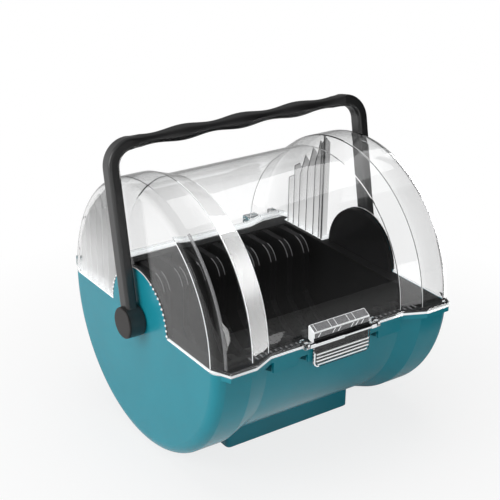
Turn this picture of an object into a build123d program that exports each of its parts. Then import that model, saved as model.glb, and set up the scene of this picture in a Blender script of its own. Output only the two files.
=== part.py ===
"""Saw blade storage case: drum shaped tub, clear hinged lid, rack with dividers and bail handle.

Millimetres.  X is the drum axis, -Y the latch side, +Z up, the floor is Z 0.
"""
import math
import os

from build123d import *

# ---- drum outline (x from the middle, r from the drum axis) ----
X_END, R_END = 136.5, 124.0        # flat end face and its edge
X_WIDE, R_WIDE = 127.0, 135.0      # start of the wide band
X_STEP = 99.5                      # wide band ends, cone starts
X_WAIST, R_WAIST = 77.5, 128.0     # waist between the cones
AXIS_Z = 135.5                     # drum axis above the floor
TUB_T, LID_T, LINER_T = 3.0, 2.2, 2.0
LINER_GAP = 0.4
LINER_END = 130.5                  # outer face of the rack's end wall
LOBE_R = 50.2                      # raised half disc around the handle pivot

# ---- rim ----
RIM_WIDE, RIM_WAIST, RIM_END = 142.5, 132.5, 122.0
TUB_RIM_T, LID_RIM_T, LID_LIP_H = 4.5, 2.2, 5.0
PART_GAP = 0.1                     # lid rim above tub rim
SKIRT_T, SKIRT_Z, PANEL_Z = 1.8, -7.8, -15.5        # turned down edge and its panels
PANELS = ((-74.5, -47.0), (-36.0, 36.0), (47.0, 74.5))

# ---- foot ----
FOOT_X, FOOT_Y, FOOT_T = 75.0, 60.0, 3.0

# ---- dividers ----
DIV_PITCH, DIV_N, DIV_T, DIV_WALL = 22.0, 11, 7.0, 1.8
DIV_TOP, DIV_FRONT_TOP = -1.5, -16.0
DECK_T, DECK_X, DECK_IN = 1.5, 133.2, 1.9   # deck flush with the tub rim

# ---- handle ----
GRIP_R = 166.5                     # pivot to grip centre line
ARM_X, ARM_W, ARM_D = 145.3, 11.8, 15.5
CORNER_R, LEAN = 21.0, 11.3
WAVE_PITCH, WAVE_R, WAVE_A, GRIP_END = 66.0, 6.4, 1.3, 112.0
BOSS_R, BOSS_X0, BOSS_X1 = 15.5, 137.4, 152.8
CAP_X1, HEAD_R, HEAD_X = 154.8, 8.0, 150.9
PIN_R, RUN = 5.0, 0.08
WASHER_R, RING_R = 13.0, 8.6

# ---- lid hinges ----
HINGE_Y, HINGE_Z, KNUCKLE_R, HPIN_R = 147.2, -3.0, 4.2, 1.8
KN_TUB = (99.6, 117.0)
KN_LID = ((84.0, 99.2), (117.4, 125.0))

# ---- latch ----
LATCH_Y, LATCH_Z = -136.2, 3.6
LATCH_W, LATCH_BARREL, LPIN_R, BARREL_R = 32.4, 38.6, 1.4, 2.7
LUG = (39.0, 43.0)
FLAP_T, FLAP_BOTTOM = 2.4, -21.0


def mirror_x(shape):
    return mirror(shape, about=Plane.YZ)


def block(x0, x1, y0, y1, z0, z1):
    return Pos((x0 + x1) / 2, (y0 + y1) / 2, (z0 + z1) / 2) * Box(
        abs(x1 - x0), abs(y1 - y0), abs(z1 - z0))


def disc_x(x0, x1, r, y=0.0, z=0.0):
    """Cylinder along X between two stations."""
    return Pos((x0 + x1) / 2, y, z) * Rot(0, 90, 0) * Cylinder(r, abs(x1 - x0))


def prism_x(points, x0, x1):
    """Polygon of (y, z) points pulled along X."""
    face = Plane.YZ * make_face(Polyline([(p[0], p[1]) for p in points], close=True))
    return Pos(x0, 0, 0) * extrude(face, x1 - x0, dir=(1, 0, 0))


def drum(inset, x_end=X_END):
    """Solid of revolution of the drum outline, moved in by inset."""
    xe, re = x_end - (inset if x_end == X_END else 0), R_END - 0.6 * inset
    xw, rw = min(X_WIDE - 0.3 * inset, xe - 3), R_WIDE - inset
    xs, xn, rn = X_STEP - 0.1 * inset, X_WAIST - 0.1 * inset, R_WAIST - inset
    mid = (xw + 0.66 * (xe - xw), re + 0.68 * (rw - re))
    right = [Line((0, 0), (xe, 0)), Line((xe, 0), (xe, re)),
             ThreePointArc((xe, re), mid, (xw, rw)), Line((xw, rw), (xs, rw)),
             Line((xs, rw), (xn, rn)), Line((xn, rn), (0, rn))]
    half = make_face(Curve() + [*right, Line((0, rn), (0, 0))])
    body = revolve(half, Axis.X, 360)
    return body + mirror_x(body)


def rim_plan(grow=0.0):
    """Outline of the rim seen from above."""
    g = grow
    quarter = [(X_END + g, RIM_END), (X_WIDE + 0.4 * g, RIM_WIDE + g), (X_STEP, RIM_WIDE + g),
               (X_WAIST, RIM_WAIST + g)]
    pts = quarter + [(-x, y) for x, y in reversed(quarter)]
    pts += [(-x, -y) for x, y in quarter] + [(x, -y) for x, y in reversed(quarter)]
    return make_face(Polyline(pts, close=True))


def rim_plate(z0, z1, grow=0.0):
    return Pos(0, 0, z0) * extrude(rim_plan(grow), z1 - z0)


# ---------------------------------------------------------------- tub
def skirts():
    """Turned down edge of the front rim, with three panels braced by end webs."""
    y0, top = -RIM_WAIST, -TUB_RIM_T + 0.5
    made = [block(PANELS[0][0], PANELS[-1][1], y0, y0 + SKIRT_T, SKIRT_Z, top)]
    outline = Polyline([(y0, top), (y0, PANEL_Z), (y0 + 5.5, SKIRT_Z), (y0 + 5.5, top)], close=True)
    for x0, x1 in PANELS:
        made.append(block(x0, x1, y0, y0 + SKIRT_T, PANEL_Z, SKIRT_Z + 0.5))
        for x in (x0, x1 - 1.5):
            web = extrude(Plane.YZ * make_face(outline), 1.5)
            made.append(Pos(x, 0, 0) * web)
    return made


def tub_knuckle():
    a, b = KN_TUB
    lug = block(a, b, 130, HINGE_Y, HINGE_Z - KNUCKLE_R, -TUB_RIM_T + 1)
    return lug + disc_x(a, b, KNUCKLE_R, HINGE_Y, HINGE_Z)


def lid_knuckles():
    """Two eyes on a bracket that reaches down behind the tub's rim."""
    out = []
    for a, b in KN_LID:
        eye = block(a, b, 138, HINGE_Y + KNUCKLE_R, PART_GAP, LID_LIP_H)
        eye += block(a, b, RIM_WIDE + 0.6, HINGE_Y + KNUCKLE_R, HINGE_Z, LID_LIP_H)
        eye += disc_x(a, b, KNUCKLE_R, HINGE_Y, HINGE_Z)
        out += [eye, mirror_x(eye)]
    return out


def make_tub():
    inner = drum(TUB_T)
    below = block(-200, 200, -200, 200, -200, 0)
    tub = (drum(0) & below) + rim_plate(-TUB_RIM_T, 0)
    for s in skirts() + [tub_knuckle(), mirror_x(tub_knuckle())]:
        tub += s
    rebate = rim_plate(-DECK_T, 1, -1.8) & block(-133.3, 133.3, -200, 200, -9, 9)
    tub -= inner + rebate
    for side in (1, -1):
        lobe = disc_x(side * (X_END - TUB_T), side * X_END, LOBE_R)
        lobe -= block(-200, 200, -60, 60, -60, -0.001)
        tub += lobe
        tub -= disc_x(side * 130, side * 140, PIN_R)
        tub -= disc_x(side * 70, side * 130, HPIN_R, HINGE_Y, HINGE_Z)
        for a, b in KN_LID:
            tub -= block(side * (a - 0.3), side * (b + 0.3), RIM_WIDE - 0.4, 160, -20, 10)
    return tub


def make_foot():
    """Open tray under the waist, its walls cut to the drum."""
    h = AXIS_Z - R_WAIST * math.cos(math.asin(FOOT_Y / R_WAIST)) + 2
    outer = block(-FOOT_X, FOOT_X, -FOOT_Y, FOOT_Y, -AXIS_Z, -AXIS_Z + h)
    outer = fillet(outer.edges().filter_by(Axis.Z), 5)
    outer = chamfer(outer.faces().sort_by(Axis.Z)[0].edges(), 1.2)
    t = FOOT_T
    core = block(-FOOT_X + t, FOOT_X - t, -FOOT_Y + t, FOOT_Y - t, -AXIS_Z + t, 0)
    core -= block(-1.25, 1.25, -FOOT_Y, FOOT_Y, -AXIS_Z, 0)
    return outer - core - disc_x(-FOOT_X - 5, FOOT_X + 5, R_WAIST)


# ---------------------------------------------------------------- rack
def make_tray():
    """Thin black skin inside the tub, up to the underside of the deck."""
    inset = TUB_T + LINER_GAP
    shell = drum(inset, LINER_END) - drum(inset + LINER_T, LINER_END - LINER_T)
    return shell & block(-200, 200, -200, 200, -200, -DECK_T)


def make_deck():
    """Black flange that hangs the rack on the tub's rim, with a window for the blades."""
    deck = rim_plate(-DECK_T, 0, -DECK_IN) & block(-DECK_X, DECK_X, -200, 200, -9, 9)
    deck -= block(-118, 118, -114, 114, -20, 20)
    for side in (1, -1):
        deck -= disc_x(side * LINER_END, side * 140, RING_R + 0.8)
    return deck


def make_rack_end(side):
    """Half disc standing on the deck behind the handle pivot."""
    x0 = LINER_END - LINER_T
    end = disc_x(side * x0, side * DECK_X, LOBE_R + 0.2)
    end &= block(-200, 200, -60, 60, 0, 60)
    end -= disc_x(side * LINER_END, side * 140, RING_R + 0.8)
    arc = end.edges().filter_by(GeomType.CIRCLE)
    arc = [e for e in arc if e.radius > LOBE_R and abs(abs(e.center().X) - x0) < 0.1]
    return chamfer(arc, 0.6)


def divider_face(inset=0.0):
    """Tall at the back, lower in front, with an open middle for the hand."""
    i = inset
    yb, zt, r = 64 + i, DIV_TOP - i, 20 - i
    yf, zf, q = -70 - i, DIV_FRONT_TOP - i, 14 - i
    s = math.sqrt(0.5)
    edges = [Line((140, zt), (yb + r, zt)),
             ThreePointArc((yb + r, zt), (yb + r - r * s, zt - r + r * s), (yb, zt - r)),
             Line((yb, zt - r), (yb, -62)),
             ThreePointArc((yb, -62), (-3, -96 - i), (yf, -62)),
             Line((yf, -62), (yf, zf - q)),
             ThreePointArc((yf, zf - q), (yf - q + q * s, zf - q + q * s), (yf - q, zf)),
             Line((yf - q, zf), (-140, zf)), Line((-140, zf), (-140, -140)),
             Line((-140, -140), (140, -140)), Line((140, -140), (140, zt))]
    return Plane.YZ * make_face(Curve() + edges)


def make_divider(x, room, deck):
    outer = Pos(x - DIV_T / 2, 0, 0) * extrude(divider_face(), DIV_T, dir=(1, 0, 0))
    slot = DIV_T - 2 * DIV_WALL
    core = Pos(x - slot / 2, 0, 0) * extrude(divider_face(DIV_WALL), slot, dir=(1, 0, 0))
    return ((outer & room) - core) - deck


# ---------------------------------------------------------------- lid
def lid_rim():
    """Flat rim with an upstanding lip around its outer edge."""
    plate = rim_plate(PART_GAP, PART_GAP + LID_RIM_T)
    lip = rim_plate(PART_GAP, LID_LIP_H) - rim_plate(-1, LID_LIP_H + 1, -1.8)
    lip -= block(-LUG[0], LUG[0], -200, 0, 3.0, 20)
    return plate + lip


def latch_housing():
    """Hollow wedge over the latch, with three ribs inside."""
    outer = [(-120, 18.6), (-127.2, 18.6), (-135.6, 14.2), (-135.6, 8.4), (-120, 8.4)]
    inner = [(-110, 17.0), (-126.8, 17.0), (-134.0, 13.2), (-134.0, 5.0), (-110, 5.0)]
    box = prism_x(outer, -LATCH_W, LATCH_W)
    ribs = (-LATCH_W, -16.2, 0, 16.2, LATCH_W)
    for a, b in zip(ribs, ribs[1:]):
        box -= prism_x(inner, a + 0.9, b - 0.9)
    return box


def latch_lug():
    a, b = LUG
    lug = block(a, b, LATCH_Y, -128, PART_GAP, LATCH_Z + 3.2)
    lug += disc_x(a, b, 3.2, LATCH_Y, LATCH_Z)
    return lug


def make_lid():
    inner = drum(LID_T)
    lid = (drum(0) - inner) & block(-200, 200, -200, 200, PART_GAP, 200)
    for extra in [lid_rim(), latch_housing(), latch_lug(), mirror_x(latch_lug()), *lid_knuckles()]:
        lid += extra - inner
    for side in (1, -1):
        lid -= disc_x(side * 133, side * 138, LOBE_R + 0.4)
        lid -= disc_x(side * 70, side * 130, HPIN_R + RUN, HINGE_Y, HINGE_Z)
        a, b = KN_TUB
        lid -= block(side * (a - 0.3), side * (b + 0.3), HINGE_Y - KNUCKLE_R - 1, 160, -20, 20)
    return lid - disc_x(-60, 60, LPIN_R, LATCH_Y, LATCH_Z)


# ---------------------------------------------------------------- latch
def make_flap():
    """Latch flap: barrel, plate with rounded corners, grip ribs and a catch bead."""
    y1 = LATCH_Y + FLAP_T / 2
    y0 = y1 - FLAP_T
    plate = block(-LATCH_W, LATCH_W, y0, y1, FLAP_BOTTOM, LATCH_Z)
    low = plate.edges().filter_by(Axis.Y).sort_by(Axis.Z)[:2]
    plate = fillet(low, 5)
    flap = plate + disc_x(-LATCH_BARREL, LATCH_BARREL, BARREL_R, LATCH_Y, LATCH_Z)
    for i in range(4):
        z = -7.6 - 3.5 * i
        half = LATCH_W - (2.5 if i == 3 else 0.8)
        flap += block(-half, half, y0 - 0.9, y0 + 0.3, z - 0.6, z + 0.6)
    flap += block(-24, 24, y1 - 0.3, -RIM_WAIST - 0.4, -15.6, -13.8)
    return flap - disc_x(-60, 60, LPIN_R + RUN, LATCH_Y, LATCH_Z)


# ---------------------------------------------------------------- handle
def arm():
    """One arm and its corner, up from the pivot and turned in."""
    top = GRIP_R - CORNER_R
    path = Wire([Edge.make_line((ARM_X, 0, 6), (ARM_X, 0, top)),
                 Edge.make_three_point_arc(
                     (ARM_X, 0, top),
                     (ARM_X - CORNER_R * (1 - math.sqrt(0.5)), 0,
                      top + CORNER_R * math.sqrt(0.5)),
                     (ARM_X - CORNER_R, 0, GRIP_R))])
    section = Plane((ARM_X, 0, 6), x_dir=(1, 0, 0), z_dir=(0, 0, 1)) * RectangleRounded(
        ARM_W, ARM_D, 3.2)
    bar = sweep(section, path)
    end = Plane((ARM_X - CORNER_R, 0, GRIP_R), x_dir=(0, 0, 1), z_dir=(-1, 0, 0))
    ring = Plane((GRIP_END, 0, GRIP_R), x_dir=(0, 0, 1), z_dir=(-1, 0, 0))
    bar += loft([end * RectangleRounded(ARM_W, ARM_D, 3.2), ring * Circle(wave(GRIP_END))])
    boss = disc_x(BOSS_X0, BOSS_X1, BOSS_R)
    return bar + fillet(boss.edges().sort_by(Axis.X)[:1], 1.2)


def wave(x):
    return WAVE_R + WAVE_A * math.cos(2 * math.pi * x / WAVE_PITCH)


def grip():
    """Finger grip, turned about its own centre line."""
    n = 28
    xs = [GRIP_END * (2 * i / n - 1) for i in range(n + 1)]
    top = Spline([(x, wave(x)) for x in xs])
    r = wave(GRIP_END)
    edges = [top, Line((GRIP_END, r), (GRIP_END, 0)), Line((GRIP_END, 0), (-GRIP_END, 0)),
             Line((-GRIP_END, 0), (-GRIP_END, r))]
    return Pos(0, 0, GRIP_R) * revolve(make_face(Curve() + edges), Axis.X, 360)


def make_handle():
    right = arm()
    bail = grip() + right + mirror_x(right)
    for side in (1, -1):
        bail -= disc_x(side * 130, side * 160, PIN_R + RUN)
        bail -= disc_x(side * (HEAD_X - 0.1), side * 160, HEAD_R + 0.3)
    return bail.rotate(Axis.X, -LEAN)


def make_cap(side):
    cap = disc_x(side * BOSS_X1, side * CAP_X1, BOSS_R - 0.3)
    return chamfer(cap.faces().sort_by(Axis.X)[-1 if side > 0 else 0].edges(), 0.8)


def make_pin(side):
    pin = disc_x(side * 131.2, side * (HEAD_X + 1.4), PIN_R)
    return pin + disc_x(side * HEAD_X, side * (HEAD_X + 1.4), HEAD_R)


def make_ring(side, x0, x1, r):
    return disc_x(side * x0, side * x1, r) - disc_x(side * (x0 - 1), side * (x1 + 1), PIN_R)


# ---------------------------------------------------------------- build
def save(shape, node):
    os.makedirs("parts", exist_ok=True)
    shape = Pos(0, 0, AXIS_Z) * shape
    solids = shape.solids()
    if len(solids) != 1:
        print("warning", node, "has", len(solids), "solids")
    export_step(solids[0] if len(solids) == 1 else shape, "parts/%s.step" % node)


def main():
    save(make_tub(), "tub_shell")
    save(make_foot(), "foot_block")
    tray, deck = make_tray(), make_deck()
    save(tray, "rack_tray")
    save(deck, "rack_deck")
    room = drum(TUB_T + LINER_GAP + LINER_T, LINER_END - LINER_T)
    for i in range(DIV_N):
        x = (i - (DIV_N - 1) / 2) * DIV_PITCH
        save(make_divider(x, room, deck), "divider_%02d" % (i + 1))
    save(make_lid(), "lid_shell")
    save(make_flap(), "latch_flap")
    save(disc_x(-LUG[1] + 0.3, LUG[1] - 0.3, LPIN_R, LATCH_Y, LATCH_Z), "latch_pin")
    save(make_handle(), "handle_bail")
    for side, name in ((-1, "left"), (1, "right")):
        a, b = KN_LID[0][0], KN_LID[1][1]
        save(disc_x(side * (a + 0.5), side * (b - 0.5), HPIN_R, HINGE_Y, HINGE_Z),
             "hinge_pin_" + name)
        save(make_rack_end(side), "rack_end_" + name)
        save(make_pin(side), "pivot_pin_" + name)
        save(make_ring(side, 131.5, 133.4, RING_R), "pivot_ring_" + name)
        save(make_ring(side, X_END, X_END + 0.8, WASHER_R), "pivot_washer_" + name)
        save(make_cap(side), "hub_cap_" + name)


if __name__ == "__main__":
    main()
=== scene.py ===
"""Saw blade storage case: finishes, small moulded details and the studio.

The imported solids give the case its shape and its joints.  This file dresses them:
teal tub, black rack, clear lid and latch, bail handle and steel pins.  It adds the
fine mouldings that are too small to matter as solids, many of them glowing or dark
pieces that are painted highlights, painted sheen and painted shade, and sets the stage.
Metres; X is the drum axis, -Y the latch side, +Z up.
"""
import math

import bmesh
import bpy
from bpy.props import FloatProperty, FloatVectorProperty, IntProperty, PointerProperty
from mathutils import Matrix, Vector


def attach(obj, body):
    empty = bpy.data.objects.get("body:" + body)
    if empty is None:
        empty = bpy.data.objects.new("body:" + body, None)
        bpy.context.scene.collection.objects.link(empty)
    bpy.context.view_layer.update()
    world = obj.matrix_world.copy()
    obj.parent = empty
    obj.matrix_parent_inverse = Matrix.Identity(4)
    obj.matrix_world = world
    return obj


bl_info = {
    "name": "Saw Blade Case",
    "version": (1, 0, 0),
    "blender": (4, 5, 0),
    "location": "3D View > Sidebar > Blade Case",
    "description": "Finishes, fine mouldings and studio for a drum shaped saw blade case",
    "category": "Object",
}

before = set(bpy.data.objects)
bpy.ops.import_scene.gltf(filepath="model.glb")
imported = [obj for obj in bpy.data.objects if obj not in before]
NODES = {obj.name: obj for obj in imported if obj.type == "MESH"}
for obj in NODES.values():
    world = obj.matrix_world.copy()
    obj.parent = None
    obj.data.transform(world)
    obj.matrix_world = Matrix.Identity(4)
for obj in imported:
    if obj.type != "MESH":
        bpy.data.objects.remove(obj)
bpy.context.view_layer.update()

AXIS_Z = 0.1355                      # drum axis above the floor
END_X, END_R = 0.1365, 0.124         # flat end and its edge
WIDE_X, WIDE_R = 0.127, 0.135        # wide band starts
STEP_X = 0.0995                      # wide band ends
WAIST_X, WAIST_R = 0.0775, 0.128     # waist starts
LOBE_R = 0.0502                      # half disc around the handle pivot
RIM_Y = 0.1325                       # outer face of the rim at the waist
RIM_TOP = 0.0023                     # lid rim's top face above the drum axis
# upright ribs at the rear of each end: distance behind the axis, radius the inner edge reaches
RIBS = ((0.1160, 0.1280), (0.1060, 0.1275), (0.0960, 0.1150), (0.0830, 0.1090),
        (0.0700, 0.1090), (0.0600, 0.1230), (0.0550, 0.1318))
LATCH_GAP_X = 0.0390                 # half width of the gap in the lip at the latch
DIVIDERS, PITCH, THICK = 11, 0.022, 0.007
PER_METRE = 1000.0                   # the finer mouldings are written in millimetres
CLEAR = ("lid_shell", "latch_flap")
WHITE = (1, 1, 1, 1)
PRINCIPLED = "Principled BSDF"


# ---------------------------------------------------------------- settings
def colour_setting(name, description, default):
    return FloatVectorProperty(name=name, description=description, subtype="COLOR",
                               min=0, max=1, default=default)


def length_setting(name, description, low, high, default):
    return FloatProperty(name=name, description=description, subtype="DISTANCE",
                         unit="LENGTH", min=low, max=high, default=default)


def angle_setting(name, description, degrees):
    return FloatProperty(name=name, description=description, subtype="ANGLE",
                         unit="ROTATION", default=math.radians(degrees))


class CasePlastic(bpy.types.PropertyGroup):
    tub: colour_setting("Tub", "Colour of the tub and foot", (0.012, 0.30, 0.385))
    rack: colour_setting("Rack", "Colour of the tray and dividers", (0.0065, 0.0065, 0.007))
    handle: colour_setting("Handle", "Colour of the bail handle", (0.016, 0.016, 0.0165))
    cap: colour_setting("Hub cap", "Colour of the pivot caps", (0.024, 0.021, 0.020))
    clear: colour_setting("Clear", "Tint of the lid and latch", (0.995, 0.997, 0.998))
    grain: FloatProperty(name="Grain", description="Depth of the tub's moulded grain",
                         subtype="FACTOR", min=0, max=1, default=0.12)


class CaseTrim(bpy.types.PropertyGroup):
    bead: length_setting("Edge bead", "Radius of the glowing highlight beads on the lid's edges",
                         0.0001, 0.002, 0.0005)
    pip: length_setting("Highlight pip", "Radius of the glowing highlight pips around the lobe",
                        0.0002, 0.002, 0.0012)
    pip_pitch: length_setting("Pip pitch", "Distance between pips", 0.001, 0.01, 0.00515)
    fins: IntProperty(name="Rim fins", description="Fins on each stretch of the front rim",
                      min=2, max=20, default=10)
    rib_depth: length_setting("Rib depth", "How far a rear rib stands in", 0.001, 0.02, 0.012)


class CaseStudio(bpy.types.PropertyGroup):
    azimuth: angle_setting("Azimuth", "Camera angle round the case", -34.88)
    elevation: angle_setting("Elevation", "Camera angle above the floor", 24.09)
    roll: angle_setting("Roll", "Camera turn about its own axis", 0.81)
    distance: FloatProperty(name="Distance", description="Camera to target",
                            subtype="DISTANCE", unit="LENGTH", default=1.1927)
    target: FloatVectorProperty(name="Target", description="Point the camera looks at",
                                subtype="TRANSLATION", unit="LENGTH",
                                default=(-0.00979, 0.0, 0.17561))
    lens: FloatProperty(name="Lens", description="Focal length in millimetres",
                        default=87.06)
    fill: FloatProperty(name="Fill", description="Soft light from all round",
                        subtype="FACTOR", min=0, max=2, default=0.22)


# ---------------------------------------------------------------- node helpers
def node(tree, kind, at=(0, 0), **values):
    """A node with its attributes set and its inputs set, or linked to a given socket."""
    made = tree.nodes.new(kind)
    made.location = at
    for key, value in values.items():
        if hasattr(made, key):
            setattr(made, key, value)
            continue
        entry = made.inputs[key.replace("_", " ").title()]
        if isinstance(value, bpy.types.NodeSocket):
            tree.links.new(value, entry)
        else:
            entry.default_value = value
    return made


def socket(tree, name, kind, out=False, value=None):
    made = tree.interface.new_socket(name=name, in_out="OUTPUT" if out else "INPUT",
                                     socket_type=kind)
    if value is not None:
        made.default_value = value
    return made


def rgba(colour):
    return (*colour, 1.0)


def fresh_material(name, kind="ShaderNodeBsdfPrincipled"):
    """A material with one shader node on its output."""
    mat = bpy.data.materials.new(name)
    mat.use_nodes = True
    tree = mat.node_tree
    tree.nodes.clear()
    out = node(tree, "ShaderNodeOutputMaterial", (700, 0))
    shader = node(tree, kind, (300, 0))
    tree.links.new(shader.outputs[0], out.inputs[0])
    return mat, tree, shader, out


def moulded_group():
    """Fine grain and slow mottling of an injection moulding."""
    group = bpy.data.node_groups.get("Moulded Surface")
    if group:
        return group
    group = bpy.data.node_groups.new("Moulded Surface", "ShaderNodeTree")
    socket(group, "Vector", "NodeSocketVector")
    socket(group, "Colour", "NodeSocketColor")
    for label, value in (("Grain Scale", 900.0), ("Mottle", 0.1), ("Roughness", 0.3)):
        socket(group, label, "NodeSocketFloat", value=value)
    socket(group, "Colour", "NodeSocketColor", out=True)
    socket(group, "Roughness", "NodeSocketFloat", out=True)
    socket(group, "Height", "NodeSocketFloat", out=True)
    given = node(group, "NodeGroupInput", (-900, 0)).outputs
    outs = node(group, "NodeGroupOutput", (600, 0)).inputs
    link = group.links.new
    grain = node(group, "ShaderNodeTexNoise", (-600, -200), detail=3.0,
                 vector=given["Vector"], scale=given["Grain Scale"])
    slow = node(group, "ShaderNodeTexNoise", (-600, 200), scale=16.0, detail=4.0,
                vector=given["Vector"])
    flow = node(group, "ShaderNodeMapRange", (-380, 200), from_min=0.3, from_max=0.7,
                to_min=-0.5, to_max=0.5, value=slow.outputs["Fac"])
    much = maths(group, "MULTIPLY", flow.outputs[0], given["Mottle"], (-180, 200))
    gain = maths(group, "ADD", much, 1.0, (0, 200))
    tint = node(group, "ShaderNodeVectorMath", (180, 240), operation="SCALE",
                vector=given["Colour"], scale=gain)
    rough = maths(group, "ADD", maths(group, "MULTIPLY", much, 0.5, (0, 0)),
                  given["Roughness"], (180, 0))
    link(tint.outputs[0], outs["Colour"])
    link(rough, outs["Roughness"])
    link(grain.outputs["Fac"], outs["Height"])
    return group


def moulded_surface(tree, roughness, mottle, scale):
    """The object's own coordinates and a Moulded Surface node fed by them."""
    where = node(tree, "ShaderNodeTexCoord", (-700, 0))
    surface = node(tree, "ShaderNodeGroup", (-300, 0), node_tree=moulded_group())
    tree.links.new(where.outputs["Object"], surface.inputs["Vector"])
    for label, value in (("Grain Scale", scale), ("Mottle", mottle), ("Roughness", roughness)):
        surface.inputs[label].default_value = value
    return where, surface


def moulded_plastic(name, colour, roughness, grain, mottle, scale, specular=0.5, glow=0.0):
    """Plastic whose colour, roughness and bump vary over the surface; with glow it also shines by
    itself, a painted light.
    """
    mat, tree, shader, _ = fresh_material(name)
    link = tree.links.new
    _, surface = moulded_surface(tree, roughness, mottle, scale)
    surface.inputs["Colour"].default_value = rgba(colour)
    bump = node(tree, "ShaderNodeBump", (0, -300), strength=grain, distance=0.0002)
    link(surface.outputs["Height"], bump.inputs["Height"])
    link(surface.outputs["Colour"], shader.inputs["Base Color"])
    link(surface.outputs["Roughness"], shader.inputs["Roughness"])
    link(bump.outputs[0], shader.inputs["Normal"])
    shader.inputs["Specular IOR Level"].default_value = specular
    if glow:
        link(surface.outputs["Colour"], shader.inputs["Emission Color"])
        shader.inputs["Emission Strength"].default_value = glow
        mat.cycles.emission_sampling = "NONE"
    return mat


def clear_plastic(name, tint, roughness):
    """Polished clear plastic that lets the lamps through; its tint is darker on the wide bands as
    a painted shade.
    """
    mat, tree, shader, out = fresh_material(name)
    link = tree.links.new
    where, surface = moulded_surface(tree, roughness, 0.02, 120.0)
    split = node(tree, "ShaderNodeSeparateXYZ", (-900, -200), vector=where.outputs["Object"])
    stretch = 5.0                    # the ramp's stops are at this times the distance in X
    along = maths(tree, "MULTIPLY", maths(tree, "ABSOLUTE", split.outputs["X"], 0), stretch)
    band = ramp(tree, along, ((0.490, 1.0), (0.525, 0.90), (0.57, 0.85), (0.665, 0.80),
                              (0.672, 1.0)))
    # the band ramp darkens the tint on the wide bands: painted shade; the plastic is no thicker or
    # smokier there
    thick = node(tree, "ShaderNodeVectorMath", (-500, 0), operation="MULTIPLY", vector=band)
    thick.inputs[1].default_value = tint
    link(thick.outputs[0], surface.inputs["Colour"])
    link(surface.outputs["Colour"], shader.inputs["Base Color"])
    link(surface.outputs["Roughness"], shader.inputs["Roughness"])
    shader.inputs["Transmission Weight"].default_value = 1.0
    shader.inputs["IOR"].default_value = 1.38
    path = node(tree, "ShaderNodeLightPath", (0, 400))
    through = node(tree, "ShaderNodeBsdfTransparent", (300, -500))
    kept = 0.95                      # share of a lamp's light that one wall lets through
    through.inputs[0].default_value = rgba([kept * c for c in tint])
    link(mix(tree, path.outputs["Is Shadow Ray"], shader.outputs[0], through.outputs[0],
             (560, 0)), out.inputs[0])
    return mat


def dress(names, material):
    for name in names:
        slots = NODES[name].data.materials
        if len(slots):
            for i in range(len(slots)):
                slots[i] = material
        else:
            slots.append(material)


# ---------------------------------------------------------------- geometry helpers
def add_object(name, data):
    made = bpy.data.objects.new(name, data)
    bpy.context.scene.collection.objects.link(made)
    return made


def bake_nodes(tree, values, name, path=()):
    """Runs a geometry tree with its inputs set by name and returns a plain mesh."""
    start = bpy.data.meshes.new(name + "_maker")
    closed = len(path) > 2 and path[0] == path[-1]
    points = path[:-1] if closed else path
    edges = [(i, (i + 1) % len(points)) for i in range(len(path) - 1)]
    start.from_pydata(points, edges, [])
    shell = add_object(name + "_maker", start)
    mod = shell.modifiers.new("maker", "NODES")
    mod.node_group = tree
    for item in tree.interface.items_tree:
        if item.item_type == "SOCKET" and item.in_out == "INPUT" and item.name in values:
            mod[item.identifier] = values[item.name]
    bpy.context.view_layer.update()
    seen = shell.evaluated_get(bpy.context.evaluated_depsgraph_get())
    mesh = bpy.data.meshes.new_from_object(seen)
    bpy.data.objects.remove(shell)
    mesh.name = name
    return mesh


def join_meshes(name, meshes, smooth=True):
    """One piece from several meshes, each in the plastic of its last slot."""
    plastics = list(dict.fromkeys(mesh.materials[-1] for mesh in meshes))
    bm = bmesh.new()
    for mesh in meshes:
        for poly in mesh.polygons:
            poly.material_index = plastics.index(mesh.materials[-1])
        bm.from_mesh(mesh)
    joined = bpy.data.meshes.new(name)
    bm.to_mesh(joined)
    bm.free()
    for poly in joined.polygons:
        poly.use_smooth = smooth
    for mat in plastics:
        joined.materials.append(mat)
    for mesh in meshes:
        bpy.data.meshes.remove(mesh)
    return add_object(name, joined)


def sheet(outline, thickness):
    """A flat sheet: the outline carried along the thickness vector."""
    bm = bmesh.new()
    face = bm.faces.new([bm.verts.new(p) for p in outline])
    made = bmesh.ops.extrude_face_region(bm, geom=[face])
    moved = [v for v in made["geom"] if isinstance(v, bmesh.types.BMVert)]
    bmesh.ops.translate(bm, vec=thickness, verts=moved)
    bmesh.ops.recalc_face_normals(bm, faces=bm.faces)
    mesh = bpy.data.meshes.new("sheet")
    bm.to_mesh(mesh)
    bm.free()
    return mesh


def geometry_tree(name, floats):
    tree = bpy.data.node_groups.new(name, "GeometryNodeTree")
    socket(tree, "Geometry", "NodeSocketGeometry")
    for label, value in floats.items():
        kind = "NodeSocketInt" if isinstance(value, int) else "NodeSocketFloat"
        socket(tree, label, kind, value=value)
    socket(tree, "Material", "NodeSocketMaterial")
    socket(tree, "Geometry", "NodeSocketGeometry", out=True)
    return tree, node(tree, "NodeGroupInput", (-1200, 0)), node(tree, "NodeGroupOutput",
                                                                (900, 0))


def finish_tree(tree, ins, outs, geometry):
    """Realize Instances and Set Material at the end of a tree."""
    real = node(tree, "GeometryNodeRealizeInstances", (500, 0), geometry=geometry)
    paint = node(tree, "GeometryNodeSetMaterial", (700, 0), geometry=real.outputs[0],
                 material=ins.outputs["Material"])
    tree.links.new(paint.outputs[0], outs.inputs[0])


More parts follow.
